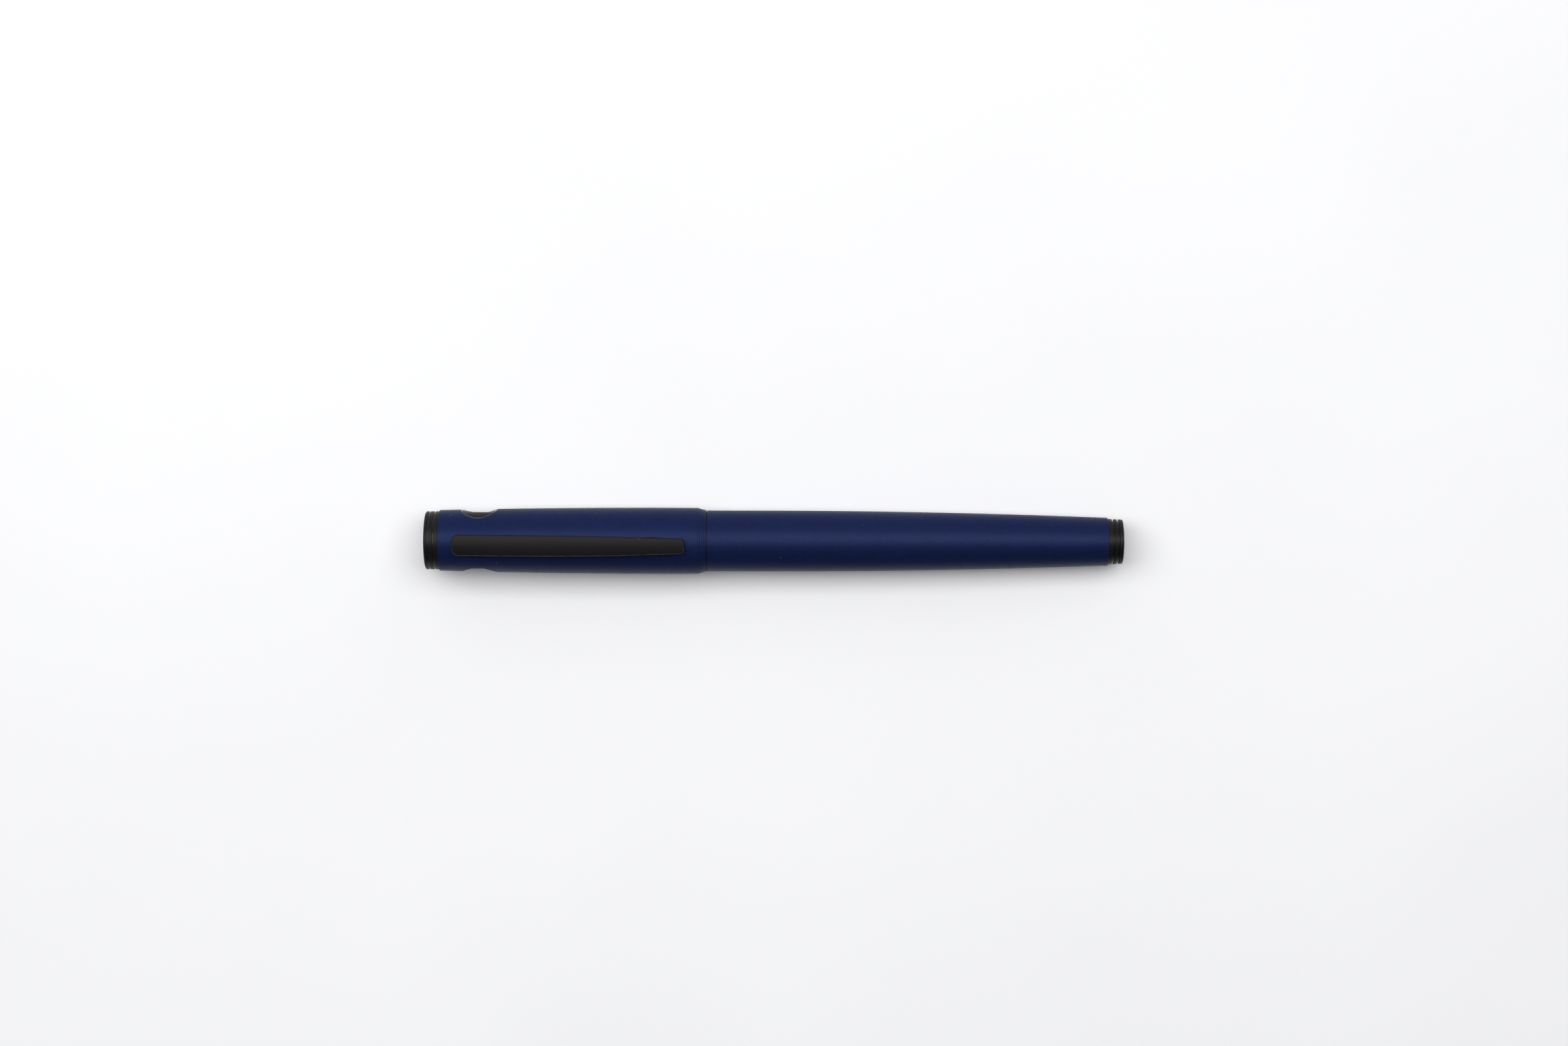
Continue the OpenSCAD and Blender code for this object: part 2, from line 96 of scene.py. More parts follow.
def half_plane_edges(bm):
    """The edges, as pairs of (x, radius), in which a half-plane through the axis cuts a solid."""
    away = Vector((0, math.sin(CUT_ANGLE), math.cos(CUT_ANGLE)))
    normal = Vector((0, math.cos(CUT_ANGLE), -math.sin(CUT_ANGLE)))
    geometry = bm.verts[:] + bm.edges[:] + bm.faces[:]
    cut = bmesh.ops.bisect_plane(bm, geom=geometry, plane_co=(0, 0, 0), plane_no=normal, dist=1e-9)
    pairs = []
    for item in cut["geom_cut"]:
        if not isinstance(item, bmesh.types.BMEdge):
            continue
        ends = sorted(((v.co.x, v.co.dot(away)) for v in item.verts), key=lambda p: p[1])
        if ends[1][1] <= 1e-9:
            continue
        if ends[0][1] < -1e-9:
            ends[0] = (ends[0][0], 0.0)
        pairs.append(ends)
    return pairs


def outlines(node):
    """The outlines of a turned CAD node: lists of (x, radius), each with True if it closes on itself.

    An outline that doesn't close starts and ends on the axis."""
    bm = clean_bmesh(node)
    stations = ring_stations(bm)
    pairs = half_plane_edges(bm)
    bm.free()
    key = lambda p: (round(p[0] / 2e-8), round(max(p[1], 0) / 2e-8))
    place, links = {}, {}
    for a, b in pairs:
        ka, kb = key(a), key(b)
        if ka == kb:
            continue
        place[ka], place[kb] = a, b
        links.setdefault(ka, set()).add(kb)
        links.setdefault(kb, set()).add(ka)
    found = []
    todo = set(place)
    while todo:
        ends = [k for k in todo if len(links[k]) == 1]
        start = min(ends) if ends else min(todo)
        path, here = [start], start
        todo.discard(start)
        while True:
            ahead = [k for k in links[here] if k in todo]
            if not ahead:
                break
            here = min(ahead)
            todo.discard(here)
            path.append(here)
        points = []
        for p in (snapped(place[k], stations) for k in path):
            if p and (not points or math.dist(p, points[-1]) > 0.006 * MM):
                points.append(p)
        if not ends and math.dist(points[0], points[-1]) < 0.006 * MM:
            points.pop()
        if len(points) > 2:
            found.append((points, not ends))
    return found


def snapped(point, stations):
    """The ring of CAD vertices that a cut point lies on, or None for a point between rings."""
    if point[1] < 1e-7:
        return (point[0], 0.0)
    near = (np.abs(stations[:, 0] - point[0]) < 4e-8) & (np.abs(stations[:, 1] - point[1]) < 3e-5)
    if not near.any():
        return None
    return (point[0], float(stations[near, 1].max()))


def rounded(points, closed, radius, hold=0.06 * MM, steps=4, sharp=math.radians(14)):
    """An outline with its corners rounded, and a point beside each round so that shading stays crisp."""
    out = []
    count = len(points)
    for i, p in enumerate(points):
        p = Vector(p)
        if not closed and i in (0, count - 1):
            out.append(p)
            continue
        before, after = Vector(points[i - 1]), Vector(points[(i + 1) % count])
        back, on = before - p, after - p
        turn = math.pi - back.angle(on)
        if turn < sharp:
            out.append(p)
            continue
        reach = min(radius * math.tan(turn / 2), 0.42 * back.length, 0.42 * on.length)
        back_dir, on_dir = back.normalized(), on.normalized()
        a, b = p + back_dir * reach, p + on_dir * reach
        room = min(hold, 0.25 * (back.length - 2 * reach))
        if room > 1e-7:
            out.append(a + back_dir * room)
        for k in range(steps + 1):
            t = k / steps
            out.append(a * (1 - t) ** 2 + p * (2 * t * (1 - t)) + b * t ** 2)
        room = min(hold, 0.25 * (on.length - 2 * reach))
        if room > 1e-7:
            out.append(b + on_dir * room)
    return [(q.x, max(q.y, 0.0)) for q in out]


# ---- building meshes

def new_object(name, verts, faces):
    """A smooth-shaded mesh object with its normals outward."""
    mesh = bpy.data.meshes.new(name)
    mesh.from_pydata([tuple(v) for v in verts], [], faces)
    bm = bmesh.new()
    bm.from_mesh(mesh)
    bmesh.ops.recalc_face_normals(bm, faces=bm.faces)
    bm.to_mesh(mesh)
    bm.free()
    mesh.polygons.foreach_set("use_smooth", [True] * len(mesh.polygons))
    mesh.update()
    obj = bpy.data.objects.new(name, mesh)
    bpy.context.scene.collection.objects.link(obj)
    return obj


def set_wear_and_sheen(obj, amount):
    """Stores each vertex's wear, and on the clip the strength of its painted highlight, from amount(place),
    for the coatings to use.
    """
    layer = obj.data.attributes.new("wear_and_sheen", "FLOAT", "POINT")
    layer.data.foreach_set("value", [amount(v.co) for v in obj.data.vertices])


def bridged(chain):
    """Faces between each closed ring of vertex numbers in a chain and the next."""
    faces = []
    for a, b in zip(chain, chain[1:]):
        for i in range(len(a)):
            n = (i + 1) % len(a)
            faces.append((a[i], a[n], b[n], b[i]))
    return faces


def quarter_round(radius, steps):
    """A rounded edge as (reach outside the wall, depth from the surface), from the surface to the wall."""
    out = []
    for k in range(steps + 1):
        a = math.radians(90 * k / steps)
        out.append((radius * (1 - math.sin(a)), radius * (1 - math.cos(a))))
    return out


def lathe(name, loops, segments, shape=None):
    """Turns outlines of (x, radius) about the axis. shape(x, radius, angle) may change a point's radius."""
    verts, faces = [], []
    for points, closed in loops:
        rings = []
        for x, r in points:
            if r < 1e-9:
                rings.append([len(verts)] * segments)
                verts.append((x, 0.0, 0.0))
                continue
            ring = []
            for k in range(segments):
                angle = 2 * math.pi * k / segments
                radius = shape(x, r, angle) if shape else r
                ring.append(len(verts))
                verts.append((x, radius * math.sin(angle), radius * math.cos(angle)))
            rings.append(ring)
        last = len(rings) if closed else len(rings) - 1
        for i in range(last):
            a, b = rings[i], rings[(i + 1) % len(rings)]
            for k in range(segments):
                n = (k + 1) % segments
                face = list(dict.fromkeys((a[k], b[k], b[n], a[n])))
                if len(face) > 2:
                    faces.append(face)
    return new_object(name, verts, faces)


def boolean(target, cutter, operation="DIFFERENCE"):
    """Cuts or adds a closed mesh, and leaves the result in the target's own mesh."""
    modifier = target.modifiers.new("cut", "BOOLEAN")
    modifier.operation = operation
    modifier.solver = "EXACT"
    modifier.object = cutter
    evaluated = target.evaluated_get(bpy.context.evaluated_depsgraph_get())
    mesh = bpy.data.meshes.new_from_object(evaluated)
    target.modifiers.remove(modifier)
    target.data = mesh
    bpy.data.objects.remove(cutter)
    return target


def rounded_box(name, low, high, radius, steps=3):
    """A box with all its edges rounded."""
    low, high = Vector(low), Vector(high)
    bm = bmesh.new()
    bmesh.ops.create_cube(bm, size=1.0)
    for v in bm.verts:
        v.co = Vector(((low[i] + high[i]) / 2 + v.co[i] * (high[i] - low[i]) for i in range(3)))
    bmesh.ops.bevel(bm, geom=bm.edges[:], offset=radius, segments=steps, profile=0.5, affect="EDGES")
    mesh = bpy.data.meshes.new(name)
    bm.to_mesh(mesh)
    bm.free()
    obj = bpy.data.objects.new(name, mesh)
    bpy.context.scene.collection.objects.link(obj)
    mesh.polygons.foreach_set("use_smooth", [True] * len(mesh.polygons))
    return obj


def sweep(name, path, radius, sides=10):
    """A round wire along a path of points, closed at both ends."""
    path = [Vector(p) for p in path]
    verts, faces = [], []
    normal = None
    for i, p in enumerate(path):
        tangent = (path[min(i + 1, len(path) - 1)] - path[max(i - 1, 0)]).normalized()
        if normal is None:
            normal = tangent.orthogonal().normalized()
        normal = (normal - tangent * normal.dot(tangent)).normalized()
        side = tangent.cross(normal)
        for k in range(sides):
            a = 2 * math.pi * k / sides
            verts.append(p + (normal * math.cos(a) + side * math.sin(a)) * radius)
    for i in range(len(path) - 1):
        for k in range(sides):
            n = (k + 1) % sides
            faces.append((i * sides + k, i * sides + n, (i + 1) * sides + n, (i + 1) * sides + k))
    faces.append(tuple(range(sides)))
    faces.append(tuple((len(path) - 1) * sides + k for k in range(sides)))
    return new_object(name, verts, faces)


# ---- materials

class Graph:
    """The nodes of a new material or world, written as nested calls. Input names have _ for spaces."""

    def __init__(self, name, kind="materials"):
        self.owner = getattr(bpy.data, kind).new(name)
        self.owner.use_nodes = True
        self.tree = self.owner.node_tree
        self.tree.nodes.clear()

    def node(self, kind, props=None, **inputs):
        made = self.tree.nodes.new(kind)
        for key, value in (props or {}).items():
            setattr(made, key, value)
        for key, value in inputs.items():
            self.feed(made, key.replace("_", " "), value)
        return made

    def feed(self, made, key, value):
        socket = made.inputs[int(key)] if key.isdigit() else made.inputs[key]
        if hasattr(value, "is_output"):
            self.tree.links.new(value, socket)
        else:
            socket.default_value = value

    def math(self, operation, a, b=0.0):
        made = self.node("ShaderNodeMath", {"operation": operation})
        self.feed(made, "0", a)
        self.feed(made, "1", b)
        return made.outputs[0]

    def vector_math(self, operation, a, b=(0, 0, 0)):
        made = self.node("ShaderNodeVectorMath", {"operation": operation})
        self.feed(made, "0", a)
        self.feed(made, "1", b)
        return made.outputs

    def ramp(self, value, low, high, to_low=0.0, to_high=1.0):
        """A smooth step from to_low to to_high as a value goes from low to high."""
        made = self.node("ShaderNodeMapRange", {"interpolation_type": "SMOOTHSTEP"})
        for key, item in (("Value", value), ("From Min", low), ("From Max", high),
                          ("To Min", to_low), ("To Max", to_high)):
            self.feed(made, key, item)
        return made.outputs["Result"]

    def mix(self, factor, a, b):
        made = self.node("ShaderNodeMix", {"data_type": "RGBA"})
        self.feed(made, "0", factor)
        self.feed(made, "6", a)
        self.feed(made, "7", b)
        return made.outputs[2]

    def place(self, scale=(1, 1, 1)):
        """The point in the pen's own frame, in millimetres, times a scale."""
        coordinates = self.node("ShaderNodeTexCoord").outputs["Object"]
        return self.vector_math("MULTIPLY", coordinates, tuple(s / MM for s in scale))[0]

    def around(self, along, turns):
        """A coordinate that changes fast along the axis and slowly round it, for turning marks."""
        parts = self.node("ShaderNodeSeparateXYZ", Vector=self.place()).outputs
        angle = self.math("ARCTAN2", parts[1], parts[2])
        made = self.node("ShaderNodeCombineXYZ")
        self.feed(made, "X", self.math("MULTIPLY", parts[0], along))
        self.feed(made, "Y", self.math("MULTIPLY", self.math("SINE", angle), turns))
        self.feed(made, "Z", self.math("MULTIPLY", self.math("COSINE", angle), turns))
        return made.outputs[0]

    def noise(self, where, scale, detail=2.0, rough=0.5):
        return self.node("ShaderNodeTexNoise", Vector=where, Scale=scale, Detail=detail,
                         Roughness=rough).outputs["Fac"]

    def bump(self, height, distance):
        return self.node("ShaderNodeBump", Height=height, Distance=distance).outputs[0]

    def specks(self, where, scale, size, share):
        """Sparse dots: 1 inside a dot, 0 elsewhere."""
        cells = self.node("ShaderNodeTexVoronoi", {"feature": "F1"}, Vector=where, Scale=scale)
        chance = self.node("ShaderNodeSeparateColor", Color=cells.outputs["Color"]).outputs[0]
        dot = self.ramp(cells.outputs["Distance"], size, size * 0.5)
        return self.math("MULTIPLY", dot, self.math("LESS_THAN", chance, share))

    def finish(self, **inputs):
        shader = self.node("ShaderNodeBsdfPrincipled", **inputs)
        output = self.node("ShaderNodeOutputMaterial")
        self.tree.links.new(shader.outputs[0], output.inputs[0])
        return self.owner


def shade(colour, factor):
    return tuple(c * factor for c in colour[:3]) + (1.0,)


def wear_and_sheen_amount(g, uneven):
    """How far a coating is polished through, and on the clip's -Y edge how strong its painted highlight is:
    the mesh's own per-vertex amount, broken up by noise.
    """
    edge = g.node("ShaderNodeAttribute", {"attribute_name": "wear_and_sheen"}).outputs["Fac"]
    return g.math("MULTIPLY", edge, g.ramp(uneven, 0.30, 0.62, 0.35, 1.0))


def lacquer(name, colour):
    """Matte metal lacquer: a fine grain, faint mottling, dust specks, and edges worn to the metal."""
    g = Graph(name)
    where = g.place()
    grain = g.noise(where, 7.0, 3.0, 0.65)
    cloud = g.noise(where, 0.22, 3.0, 0.55)
    tone = g.mix(g.ramp(grain, 0.25, 0.75), shade(colour, 0.84), shade(colour, 1.16))
    tone = g.mix(g.ramp(cloud, 0.3, 0.7, 0.0, 0.35), tone, shade(colour, 1.22))
    tone = g.mix(g.ramp(g.noise(where, 1.9, 2.0, 0.5), 0.3, 0.7, 0.0, 0.4), tone, shade(colour, 0.76))
    dust = g.specks(where, 0.55, 0.06, 0.10)
    tone = g.mix(g.math("MULTIPLY", dust, 0.4), tone, (0.30, 0.32, 0.40, 1))
    bare = wear_and_sheen_amount(g, g.noise(where, 1.1, 3.0, 0.6))
    tone = g.mix(bare, tone, (0.42, 0.43, 0.50, 1))
    rough = g.ramp(g.noise(where, 1.6, 3.0, 0.6), 0.3, 0.7, 0.40, 0.47)
    relief = g.math("ADD", grain, g.math("MULTIPLY", dust, 2.0))
    return g.finish(Base_Color=tone, Roughness=rough, Metallic=g.ramp(bare, 0.0, 1.0, 0.27, 0.75),
                    Specular_IOR_Level=0.09, Normal=g.bump(relief, 0.0035 * MM))


def coated_metal(name, colour, roughness=0.42):
    """Black coating over turned metal: turning marks under a powdery grain, and glossy groove floors."""
    g = Graph(name)
    marks = g.noise(g.around(9.0, 1.2), 1.0, 2.0, 0.6)
    grain = g.noise(g.place(), 9.0, 3.0, 0.65)
    tone = g.mix(g.ramp(grain, 0.25, 0.75), shade(colour, 0.8), shade(colour, 1.2))
    dust = g.specks(g.place(), 0.7, 0.05, 0.06)
    tone = g.mix(g.math("MULTIPLY", dust, 0.35), tone, (0.30, 0.29, 0.28, 1))
    gloss = wear_and_sheen_amount(g, g.noise(g.around(0.5, 2.5), 1.0, 2.0, 0.6))
    rough = g.ramp(g.math("ADD", marks, g.math("MULTIPLY", grain, 0.5)), 0.5, 1.1,
                   roughness - 0.05, roughness + 0.06)
    rough = g.math("SUBTRACT", rough, g.math("MULTIPLY", gloss, 0.2))
    relief = g.math("ADD", g.math("MULTIPLY", marks, 0.6), grain)
    shine = g.ramp(gloss, 0.0, 1.0, 0.13, 0.55)
    return g.finish(Base_Color=tone, Roughness=rough, Specular_IOR_Level=shine,
                    Normal=g.bump(relief, 0.003 * MM))


def clip_coat(name, colour):
    """Matte black coating on a pressed strip: rolling marks run along it, and the bevel of its -Y edge
    carries a painted highlight, lighter and glossier than the rest.
    """
    g = Graph(name)
    rolled = g.noise(g.place((0.25, 7.0, 7.0)), 1.0, 3.0, 0.6)
    grain = g.noise(g.place(), 8.0, 3.0, 0.7)
    tone = g.mix(g.ramp(grain, 0.25, 0.75), shade(colour, 0.84), shade(colour, 1.18))
    dust = g.specks(g.place(), 0.6, 0.05, 0.08)
    tone = g.mix(g.math("MULTIPLY", dust, 0.35), tone, (0.35, 0.33, 0.31, 1))
    # Painted highlight on the bevel of the -Y edge: a lighter colour and more gloss there.
    painted_edge_sheen = wear_and_sheen_amount(g, g.noise(g.place((0.5, 1.5, 1.5)), 1.0, 3.0, 0.6))
    tone = g.mix(painted_edge_sheen, tone, (0.050, 0.043, 0.047, 1))
    rough = g.ramp(g.math("ADD", grain, g.math("MULTIPLY", rolled, 0.4)), 0.5, 1.0, 0.38, 0.46)
    relief = g.math("ADD", grain, g.math("MULTIPLY", rolled, 0.35))
    shine = g.ramp(painted_edge_sheen, 0.0, 1.0, 0.095, 0.45)
    return g.finish(Base_Color=tone, Roughness=rough, Specular_IOR_Level=shine,
                    Normal=g.bump(relief, 0.004 * MM))


def plastic(name, colour, roughness, texture=0.002, soft=0.0, gloss=0.5):
    """Moulded plastic: a slight sink and flow pattern, and a surface texture so many millimetres deep."""
    g = Graph(name)
    where = g.place()
    flow = g.noise(g.place((0.12, 0.5, 0.5)), 1.0, 2.0, 0.5)
    grain = g.noise(where, 6.0, 3.0, 0.6)
    tone = g.mix(g.ramp(flow, 0.3, 0.7), shade(colour, 0.92), shade(colour, 1.08))
    rough = g.ramp(grain, 0.3, 0.7, roughness - 0.04, roughness + 0.05)
    return g.finish(Base_Color=tone, Roughness=rough, IOR=1.48, Specular_IOR_Level=gloss,
                    Subsurface_Weight=soft, Subsurface_Scale=0.6 * MM, Normal=g.bump(grain, texture * MM))


def clear_plastic(name, colour):
    """Clear moulded plastic with faint flow lines and light handling haze."""
    g = Graph(name)
    haze = g.noise(g.place((0.4, 1.2, 1.2)), 1.0, 4.0, 0.7)
    rough = g.ramp(haze, 0.4, 0.75, 0.03, 0.12)
    flow = g.noise(g.place((0.08, 0.6, 0.6)), 1.0, 1.0, 0.4)
    tone = g.mix(g.ramp(flow, 0.3, 0.7), shade(colour, 0.97), shade(colour, 1.0))
    return g.finish(Base_Color=tone, Roughness=rough, IOR=1.46, Transmission_Weight=1.0,
                    Normal=g.bump(flow, 0.004 * MM))


def turned_metal(name, colour, roughness):
    """Bare metal with fine turning marks round the axis and a little tarnish."""
    g = Graph(name)
    marks = g.noise(g.around(22.0, 0.8), 1.0, 3.0, 0.7)
    stain = g.noise(g.place(), 0.5, 3.0, 0.6)
    tone = g.mix(g.ramp(stain, 0.35, 0.75), colour + (1,), shade(colour, 0.82))
    rough = g.ramp(g.math("ADD", marks, g.math("MULTIPLY", stain, 0.4)), 0.4, 1.0,
                   roughness - 0.06, roughness + 0.1)
    return g.finish(Base_Color=tone, Metallic=1.0, Roughness=rough, Anisotropic=0.4,
                    Normal=g.bump(marks, 0.002 * MM))


def rubber(name, colour):
    """Seal rubber: very matte, with a dusty bloom."""
    g = Graph(name)
    bloom = g.noise(g.place(), 2.2, 4.0, 0.7)
    tone = g.mix(g.ramp(bloom, 0.35, 0.8), shade(colour, 0.9), shade(colour, 2.0))
    rough = g.ramp(bloom, 0.3, 0.7, 0.62, 0.8)
    return g.finish(Base_Color=tone, Roughness=rough, IOR=1.5,
                    Normal=g.bump(g.noise(g.place(), 12.0, 2.0), 0.004 * MM))


def floor_finish():
    """Pale matte paper with a fine tooth. It glows far from the pen, where the softbox doesn't reach."""
    g = Graph("floor_paper")
    tooth = g.noise(g.place(), 2.5, 4.0, 0.6)
    cloud = g.noise(g.place(), 0.01, 2.0, 0.5)
    tone = g.mix(g.ramp(cloud, 0.3, 0.7), (0.83, 0.83, 0.845, 1), (0.85, 0.85, 0.86, 1))
    metres_away = g.vector_math("LENGTH", g.place((MM, MM, 0)))[1]
    glow = g.ramp(metres_away, 0.28, 1.5, 0.0, 0.62)
    return g.finish(Base_Color=tone, Roughness=0.75, IOR=1.4, Normal=g.bump(tooth, 0.01 * MM),
                    Emission_Color=DAYLIGHT, Emission_Strength=glow)


NAVY = (0.0058, 0.0122, 0.0545)
BLACK = (0.0066, 0.0060, 0.0063)
CLIP_BLACK = (0.0082, 0.0068, 0.0078)

MATERIALS = {
    "navy_lacquer": lacquer("navy_lacquer", NAVY),
    "black_coated_metal": coated_metal("black_coated_metal", BLACK),
    "clip_black": clip_coat("clip_black", CLIP_BLACK),
    "black_plastic": plastic("black_plastic", (0.011, 0.011, 0.012), 0.34, gloss=0.42),
    "grey_plastic": plastic("grey_plastic", (0.085, 0.09, 0.10), 0.38),
    "ivory_plastic": plastic("ivory_plastic", (0.66, 0.63, 0.55), 0.26, texture=0.001, soft=0.15),
    "ring_orange": plastic("ring_orange", (0.62, 0.19, 0.03), 0.28, texture=0.001),
    "clear_plastic": clear_plastic("clear_plastic", (0.93, 0.96, 0.97)),
    "steel": turned_metal("steel", (0.56, 0.57, 0.58), 0.28),
    "brass": turned_metal("brass", (0.68, 0.48, 0.20), 0.30),
    "rubber": rubber("rubber", (0.010, 0.010, 0.010)),
}

# The liner shows in the cross hole, and is duller than the other black plastic
OWN_LOOKS = {"inner_cap": plastic("liner_plastic", (0.0075, 0.0072, 0.008), 0.48, gloss=0.09)}


# ---- dressing pieces

def dress(obj, *nodes):
    """Puts a finished piece in the place of CAD nodes: it follows the node's body, and takes the material
    of the node's record slot.
    """
    slot = SLOT_OF[nodes[0]]
    obj.data.materials.clear()
    obj.data.materials.append(OWN_LOOKS.get(nodes[0], MATERIALS[slot]))
    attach(obj, BODY_OF[nodes[0]])
    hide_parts(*nodes)
    return obj


def spaced(points, low_x, high_x, radius, gap):
    """Extra points on the straight runs of an outline at one radius, for detail that shape() adds there."""
    out = []
    for p, q in zip(points, points[1:] + points[:1]):
        out.append(p)
        if abs(p[1] - radius) > 1e-6 or abs(q[1] - radius) > 1e-6:
            continue
        a, b = max(min(p[0], q[0]), low_x), min(max(p[0], q[0]), high_x)
        count = int((b - a) / gap)
        inner = [(a + (b - a) * (k + 0.5) / count, radius) for k in range(count)]
        out.extend(inner if p[0] < q[0] else inner[::-1])
    return out


def thread_shape(low_x, high_x, crest, core, pitch, starts=1):
    """A right-handed thread between two radii, for lathe(), fading out at both ends."""
    def shape(x, r, angle):
        if not low_x < x < high_x or abs(r - crest) > 1e-6:
            return r
        phase = (x / pitch + starts * angle / (2 * math.pi)) % 1.0
        height = min(1.0, max(0.0, 1.45 - abs(phase - 0.5) * 4.2))
        fade = min(1.0, (x - low_x) / pitch, (high_x - x) / pitch)
        return crest + (core - crest) * (1 - height) * fade
    return shape


def flute_shape(low_x, high_x, centre_r, flute_r, count, run_out):
    """Lengthwise flutes of round section in a turned piece, for lathe(), running out at both ends."""
    step = 2 * math.pi / count
    def shape(x, r, angle):
        inside = min(x - low_x, high_x - x) / run_out
        off = (angle + step / 2) % step - step / 2
        across = centre_r * math.sin(off)
        if inside <= 0 or abs(across) >= flute_r or r < centre_r - 2 * flute_r:
            return r
        floor = centre_r * math.cos(off) - math.sqrt(flute_r ** 2 - across ** 2)
        depth = max(0.0, r - floor)
        return r - depth * math.sqrt(1 - (1 - min(1.0, inside)) ** 2)
    return shape


def flat_shape(rod_r, flat):
    """Two flats facing +Y and -Y on the parts of a turned piece below a radius, for lathe()."""
    def shape(x, r, angle):
        sine = abs(math.sin(angle))
        return min(r, flat / sine) if r < rod_r and sine * r > flat else r
    return shape


# ---- the turned pieces

def low(node):
    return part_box(node)[0]


def high(node):
    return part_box(node)[1]


def made(node, fillet, segments=96, shape=None, rows=None, cut=None, wear_and_sheen=None):
    """A turned CAD node again: finer, with rounded edges, and with the detail that the CAD leaves out.

    The fillet is in millimetres. shape is lathe()'s, rows are spaced()'s arguments for the rings that
    shape needs, cut is a solid to take away, and wear is set_wear_and_sheen()'s."""
    loops = []
    for points, closed in outlines(node):
        if rows:
            points = spaced(points, *rows)
        loops.append((rounded(points, closed, fillet * MM), closed))
    obj = lathe(node + "_made", loops, segments, shape)
    if cut:
        boolean(obj, cut)
    if wear_and_sheen:
        set_wear_and_sheen(obj, wear_and_sheen)
    smooth_by_angle(obj)
    return dress(obj, node)


def in_grooves(low_x, high_x, floor_r, amount):
    """Wear for made(): an amount on the groove floors of a ribbed head between two stations."""
    near = 0.07 * MM
    def wear_and_sheen(place):
        on_floor = abs(math.hypot(place.y, place.z) - floor_r) < near
        return amount if on_floor and low_x < place.x < high_x else 0.0
    return wear_and_sheen


def smooth_by_angle(obj, limit=math.radians(38)):
    """Keeps edges sharper than a limit crisp."""
    bm = bmesh.new()
    bm.from_mesh(obj.data)
    for edge in bm.edges:
        edge.smooth = len(edge.link_faces) != 2 or edge.calc_face_angle(0) < limit
    for face in bm.faces:
        face.smooth = True
    bm.to_mesh(obj.data)
    bm.free()
    return obj


def threaded(node, fillet, segments, low_x, high_x, crest, core, pitch, starts=1, row_gap=0.075 * MM):
    """A turned CAD node with a thread in its wall of radius crest, between two stations."""
    return made(node, fillet, segments, thread_shape(low_x, high_x, crest, core, pitch, starts),
                (low_x, high_x, crest, row_gap))


def slot_cutter(low_x, high_x, half_w, low_z, high_z, radius):
    """A block with rounded edges, even about the pen's middle plane."""
    return rounded_box("cutter", (low_x, -half_w, low_z), (high_x, half_w, high_z), radius)


def build_grip():
    """The grip section and the rings on it."""
    thread_low = high("section_o_ring").x + 0.05 * MM
    crest = 4.85 * MM
    threaded("grip_section", 0.07, 144, thread_low, high("grip_section").x, crest, crest - 0.22 * MM,
             BARREL_PITCH)
    made("colour_ring", 0.05)
    made("section_o_ring", 0)
    build_clutch_ring()


def build_clutch_ring():
    """A snap ring of round wire with an open gap and rounded ends."""
    lo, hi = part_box("clutch_ring")
    wire = (hi.x - lo.x) / 2
    ring = hi.z - wire
    half_gap = 0.5 * MM / ring
    path = []
    for k in range(121):
        angle = half_gap + math.pi + (2 * math.pi - 2 * half_gap) * k / 120
        path.append(((lo.x + hi.x) / 2, ring * math.sin(angle), ring * math.cos(angle)))
    dress(sweep("clutch_ring_made", path, wire, 16), "clutch_ring")


def build_point():
    """The drawing point: nib body, tube, weight and wire, plug and seal, and the ink regulator."""
    flute_low = low("nib_body").x + 4.2 * MM
    flute_high = flute_low + 3.0 * MM
    collar_r, flutes = 2.9 * MM, 12
    made("nib_body", 0.06, 144,
         flute_shape(flute_low, flute_high, collar_r + 0.1 * MM, 0.35 * MM, flutes, 0.5 * MM),
         (flute_low, flute_high, collar_r, 0.12 * MM))
    made("nib_o_ring", 0, 72)
    made("drawing_tube", 0.03, 48)
    made("safety_plug", 0.08, 72)
    made("drop_weight", 0.1, 72)
    made("cleaning_wire", 0.02, 16)
    front = low("ink_regulator").x
    slit = slot_cutter(front - 1 * MM, front + 11.2 * MM, 0.2 * MM, 1.2 * MM, 5 * MM, 0.04 * MM)
    made("ink_regulator", 0.05, 96, cut=slit)


def build_reservoir():
    """The reservoir with its piston, and the knob whose spindle drives it."""
    made("reservoir_tube", 0.08, 96)
    made("reservoir_collar", 0.06, 96)
    rod_r, flat, play = 1.7 * MM, 1.4 * MM, 0.05 * MM
    made("reservoir_end_cap", 0.08, 96, flat_shape(rod_r + 2 * play, flat + play))
    rod_low = low("piston").x + 4.5 * MM
    rod = flat_shape(rod_r + play, flat)
    made("piston", 0.08, 96, lambda x, r, angle: rod(x, r, angle) if x > rod_low else r)
    made("piston_seals", 0.12, 96)
    lo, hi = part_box("spindle")
    lead, starts = 2.5 * MM, 4
    threaded("spindle", 0.06, 48, lo.x + 0.2 * MM, lo.x + 15 * MM, hi.z, hi.z - 0.12 * MM,
             lead / starts, starts, 0.07 * MM)
    lo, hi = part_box("piston_knob")
    flute_low, flute_high, flutes = lo.x + 2 * MM, hi.x - 2 * MM, 18
    made("piston_knob", 0.1, 180,
         flute_shape(flute_low, flute_high, hi.z + 0.15 * MM, 0.35 * MM, flutes, 0.6 * MM),
         (flute_low, flute_high, hi.z, 0.2 * MM))


